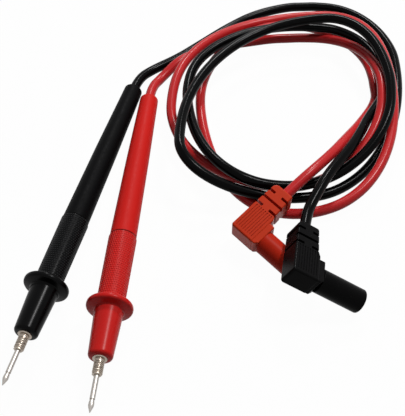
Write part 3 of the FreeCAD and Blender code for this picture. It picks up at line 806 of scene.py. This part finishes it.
@dataclass
class Cable:
    """One cable, from its probe through a loose coil to its plug.

    The coil's quarters stand at the back, right, front and left of the ring in
    turn. Each gives how far out the cable is, how far along it has drifted, its
    height and its climb.
    """

    probe: Probe
    plug: Plug
    length: float
    from_probe: tuple[Point, ...]
    quarters: tuple[Quarter, ...]
    to_plug: tuple[Point, ...]
    ring: tuple[float, float] = (0.0865, 0.075)
    diameter: float = 0.0046
    probe_exit: float = 0.0085
    coil_entry: float = 0.010
    coil_exit: float = 0.012
    plug_entry: float = 0.010
    points_per_quarter: int = 6
    directions: tuple[tuple[Point, Point], ...] = (
        ((0, 1, 0), (1, 0, 0)), ((1, 0, 0), (0, -1, 0)),
        ((0, -1, 0), (-1, 0, 0)), ((-1, 0, 0), (0, 1, 0)))

    def places(self) -> list[tuple[Vector, Vector]]:
        """Point and direction of the cable at each quarter of its coil.

        Returns:
            Pairs of point and unit direction.
        """
        centre = Vector((self.ring[0], self.ring[1], 0.0))
        found = []
        for index, (reach, drift, height, climb) in enumerate(self.quarters):
            outward, onward = (Vector(v) for v in self.directions[index % 4])
            lift = Vector((0.0, 0.0, height))
            point = centre + outward * reach + onward * drift + lift
            found.append((point, (onward + Vector((0.0, 0.0, climb))).normalized()))
        return found

    def coil(self) -> list[Vector]:
        """Points of the coil's turns, each quarter on one smooth cubic.

        A point stands outside its turn by an eighth of the bend there, because
        the curve runs inside its points by that much.

        Returns:
            The points, from the first stub to the last.
        """
        places = self.places()
        turns = [places[0][0]]
        for (start, way_in), (stop, way_out) in zip(places, places[1:]):
            chord = stop - start
            spread = 2.0 * (1.0 - way_in.dot(way_out))
            reach = chord.dot(way_in + way_out)
            root = math.sqrt(reach * reach + spread * chord.dot(chord))
            handle = 4.0 / 3.0 * (root - reach) / spread
            lead, tail = start + way_in * handle, stop - way_out * handle
            for step in range(1, self.points_per_quarter + 1):
                t = step / self.points_per_quarter
                rest = 1.0 - t
                turns.append(start * rest ** 3 + lead * (3.0 * rest * rest * t)
                             + tail * (3.0 * rest * t * t) + stop * t ** 3)
        first = turns[0] - places[0][1] * self.diameter
        last = turns[-1] + places[-1][1] * self.diameter
        line = [first, *turns, last]
        pushed = [here - (before - here * 2.0 + after) / 8.0
                  for before, here, after in zip(line, line[1:], line[2:])]
        return [first, *pushed, last]

    def route(self) -> list[Vector]:
        """All control points of the cable.

        Returns:
            The points from the barrel's end to the strain relief.
        """
        probe, plug = self.probe.pose(), self.plug.pose()
        places = self.places()
        coil = self.coil()
        points = [probe.point(self.probe.reach), probe.point(self.probe.reach + self.probe_exit)]
        points += [Vector(point) for point in self.from_probe]
        points.append(coil[0] - places[0][1] * self.coil_entry)
        points += coil
        points.append(coil[-1] + places[-1][1] * self.coil_exit)
        points += [Vector(point) for point in self.to_plug]
        reach = -self.plug.relief_reach
        points.append(plug.point(self.plug.cable_x, reach - self.plug_entry))
        points.append(plug.point(self.plug.cable_x, reach))
        return points

    def build(self) -> bpy.types.Object:
        """Make the cable as one smooth curve.

        Returns:
            The piece.
        """
        name = self.probe.name
        points = self.route()
        curve = bpy.data.curves.new(f"{name}_cable", "CURVE")
        curve.dimensions = "3D"
        curve.bevel_depth = self.diameter / 2.0
        curve.bevel_resolution = 8
        curve.resolution_u = 8
        curve.use_fill_caps = True
        spline = curve.splines.new("NURBS")
        spline.points.add(len(points) - 1)
        for slot, point in zip(spline.points, points):
            slot.co = (*point, 1.0)
        spline.order_u = 3
        spline.use_endpoint_u = True
        spline.use_smooth = True
        curve.materials.append(FINISHES[self.probe.hue].cable.material())
        piece = bpy.data.objects.new(f"{name}_cable", curve)
        bpy.context.scene.collection.objects.link(piece)
        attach(piece, "leads")
        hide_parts(f"{name}_lead_probe_end", f"{name}_lead_coil",
                    f"{name}_lead_plug_end")
        self.plug.nodes()
        LOG.info("%s: %d control points", piece.name, len(points))
        return piece


@dataclass(frozen=True)
class Lamp:
    """Soft rectangular lamp: its place, width and height, and power in watts."""

    name: str
    place: Point
    size: tuple[float, float]
    power: float


@dataclass
class Studio:
    """White table, soft lamps and the photograph's camera."""

    aim: Point = (0.0465, 0.015, 0.0)
    eye: Point = (0.0465, -0.2062, 0.2836)
    sensor: float = 36.0
    lens: float = 71.87
    floor_size: float = 4.0
    world_light: float = 0.14
    white: float = 0.99
    floor_glow: float = 1.015
    floor_glow_share: float = 0.96
    floor_grey: float = 0.40
    floor_drop: float = 0.0002
    lit_place: Point = (0.05, 0.03, 0.0)
    lamps: tuple[Lamp, ...] = (Lamp("key", (0.41, 0.28, 0.78), (0.10, 0.16), 5.2),
                               Lamp("back", (0.17, 0.91, 0.85), (0.16, 0.14), 6.4))

    def background(self, graph: Graph) -> bpy.types.NodeSocket:
        """Share of a ray that sees the plain white background.

        Args:
            graph: The graph to add to.

        Returns:
            1 for camera, glossy and transmission rays, otherwise 0.
        """
        rays = graph.add("ShaderNodeLightPath").outputs
        seen = graph.math("MAXIMUM", rays["Is Camera Ray"], rays["Is Glossy Ray"])
        return graph.math("MAXIMUM", seen, rays["Is Transmission Ray"])

    def world(self) -> None:
        """Even pale light, seen as plain white."""
        world = bpy.data.worlds.new("studio")
        world.use_nodes = True
        bpy.context.scene.world = world
        graph = Graph(world.node_tree)
        seen = self.background(graph)
        dim = graph.add("ShaderNodeBackground", {
            "Color": WHITE, "Strength": self.world_light})
        bright = graph.add("ShaderNodeBackground", {
            "Color": WHITE, "Strength": self.white})
        mix = graph.add("ShaderNodeMixShader", {0: seen, 1: dim.outputs[0], 2: bright.outputs[0]})
        graph.add("ShaderNodeOutputWorld", {"Surface": mix.outputs[0]})

    def floor(self) -> None:
        """White table that keeps a faint shadow."""
        half = self.floor_size / 2.0
        mesh = bpy.data.meshes.new("table")
        mesh.from_pydata([(-half, -half, 0.0), (half, -half, 0.0), (half, half, 0.0),
                          (-half, half, 0.0)], [], [(0, 1, 2, 3)])
        made = bpy.data.materials.new("white_table")
        made.use_nodes = True
        graph = Graph(made.node_tree)
        where = graph.add("ShaderNodeTexCoord").outputs["Object"]
        grain = graph.add("ShaderNodeTexNoise", {"Vector": where, "Scale": 300.0})
        bump = graph.add("ShaderNodeBump", {
            "Height": grain.outputs["Fac"], "Distance": 0.00002, "Strength": 0.3})
        grey = (self.floor_grey, self.floor_grey, self.floor_grey, 1.0)
        matt = graph.add("ShaderNodeBsdfDiffuse", {"Color": grey, "Normal": bump.outputs[0]})
        glow = graph.add("ShaderNodeEmission", {
            "Color": WHITE, "Strength": self.floor_glow})
        share = graph.math("MULTIPLY", self.background(graph), self.floor_glow_share)
        mix = graph.add("ShaderNodeMixShader", {0: share, 1: matt.outputs[0], 2: glow.outputs[0]})
        graph.add("ShaderNodeOutputMaterial", {"Surface": mix.outputs[0]})
        mesh.materials.append(made)
        table = bpy.data.objects.new("table", mesh)
        bpy.context.scene.collection.objects.link(table)
        table.location.z = -self.floor_drop

    def hang(self, lamp: Lamp) -> None:
        """Add a lamp that points at the lit place.

        Args:
            lamp: The lamp.
        """
        light = bpy.data.lights.new(lamp.name, "AREA")
        light.shape = "RECTANGLE"
        light.size, light.size_y = lamp.size
        light.energy = lamp.power
        piece = bpy.data.objects.new(lamp.name, light)
        piece.location = lamp.place
        way = Vector(self.lit_place) - Vector(lamp.place)
        piece.rotation_euler = way.to_track_quat("-Z", "Y").to_euler()
        bpy.context.scene.collection.objects.link(piece)

    def camera(self) -> None:
        """Camera at the photograph's angle."""
        data = bpy.data.cameras.new("camera")
        data.sensor_fit = "VERTICAL"
        data.sensor_height = self.sensor
        data.lens = self.lens
        data.clip_start = 0.01
        camera = bpy.data.objects.new("camera", data)
        camera.location = self.eye
        way = Vector(self.aim) - Vector(self.eye)
        camera.rotation_euler = way.to_track_quat("-Z", "Y").to_euler()
        bpy.context.scene.collection.objects.link(camera)
        bpy.context.scene.camera = camera

    def build(self) -> None:
        """Set up the whole studio."""
        self.camera()
        self.world()
        self.floor()
        for lamp in self.lamps:
            self.hang(lamp)
        bpy.context.scene.view_settings.view_transform = "Standard"


BLACK_PROBE = Probe(Hue.BLACK, guard=(-0.01447, -0.03111), heading=76.3)
RED_PROBE = Probe(Hue.RED, guard=(0.01093, -0.04046), heading=85.0)
BLACK_PLUG = Plug(Hue.BLACK, place=(0.0890, -0.0307), heading=-12.8, droop=28.0, roll=8.2)
RED_PLUG = Plug(Hue.RED, place=(0.0698, -0.0070), heading=-44.3, droop=7.9, roll=-8.9)

BLACK_CABLE = Cable(
    BLACK_PROBE, BLACK_PLUG, length=0.949,
    from_probe=((0.022, 0.0995, 0.0025), (0.034, 0.1075, 0.0025), (0.046, 0.1185, 0.0025),
                (0.059, 0.130, 0.003), (0.0735, 0.1415, 0.0025)),
    quarters=((0.0725, 0.019, 0.003, 0.02), (0.055, -0.029, 0.0043, 0.06),
              (0.0585, 0.0065, 0.005, 0.16), (0.050, -0.0365, 0.0195, -0.10),
              (0.0445, 0.018, 0.018, 0.10), (0.0465, 0.001, 0.018, -0.08),
              (0.055, 0.0125, 0.010, 0.30), (0.047, 0.0015, 0.0115, -0.02),
              (0.0475, 0.0215, 0.0095, -0.16), (0.046, -0.018, 0.008, 0.02)),
    to_plug=((0.1222, 0.0603, 0.0086), (0.1178, 0.0502, 0.011), (0.1116, 0.0385, 0.013),
             (0.105, 0.0291, 0.0144), (0.099, 0.0199, 0.0154), (0.094, 0.011, 0.015)))
RED_CABLE = Cable(
    RED_PROBE, RED_PLUG, length=0.919,
    from_probe=((0.0265, 0.0935, 0.0025), (0.036, 0.104, 0.006), (0.048, 0.1125, 0.003),
                (0.0595, 0.118, 0.0025), (0.070, 0.120, 0.0025)),
    quarters=((0.047, 0.0095, 0.0035, 0.04), (0.0435, -0.0025, 0.014, -0.04),
              (0.052, 0.012, 0.0055, 0.30), (0.0545, -0.0055, 0.0086, 0.14),
              (0.061, 0.0185, 0.0063, 0.06), (0.0485, -0.0035, 0.013, -0.08),
              (0.0655, -0.0015, 0.003, -0.08), (0.041, 0.001, 0.0056, -0.06),
              (0.054, 0.0115, 0.0051, -0.20), (0.043, -0.0185, 0.003, 0.00)),
    to_plug=((0.1195, 0.061, 0.004), (0.111, 0.0475, 0.009), (0.1035, 0.0355, 0.013),
             (0.094, 0.0245, 0.0145)))


def write_sizes() -> None:
    """Define a helper that turns a box into plain lists of numbers; no box is written."""
    def plain(box: Sequence[Sequence[float]]) -> list[list[float]]:
        """A box as plain lists of numbers."""
        return [[float(value) for value in corner] for corner in box]


def main() -> None:
    """Build the studio, the cables, the probes and the plugs in order."""
    logging.basicConfig(level=logging.INFO, format="%(name)s: %(message)s")
    steps: tuple[Callable[[], object], ...] = (
        Studio().build, BLACK_CABLE.build, RED_CABLE.build, BLACK_PROBE.build,
        RED_PROBE.build, BLACK_PLUG.build, RED_PLUG.build)
    for step in steps:
        step()
    write_sizes()


if __name__ == "__main__":
    main()
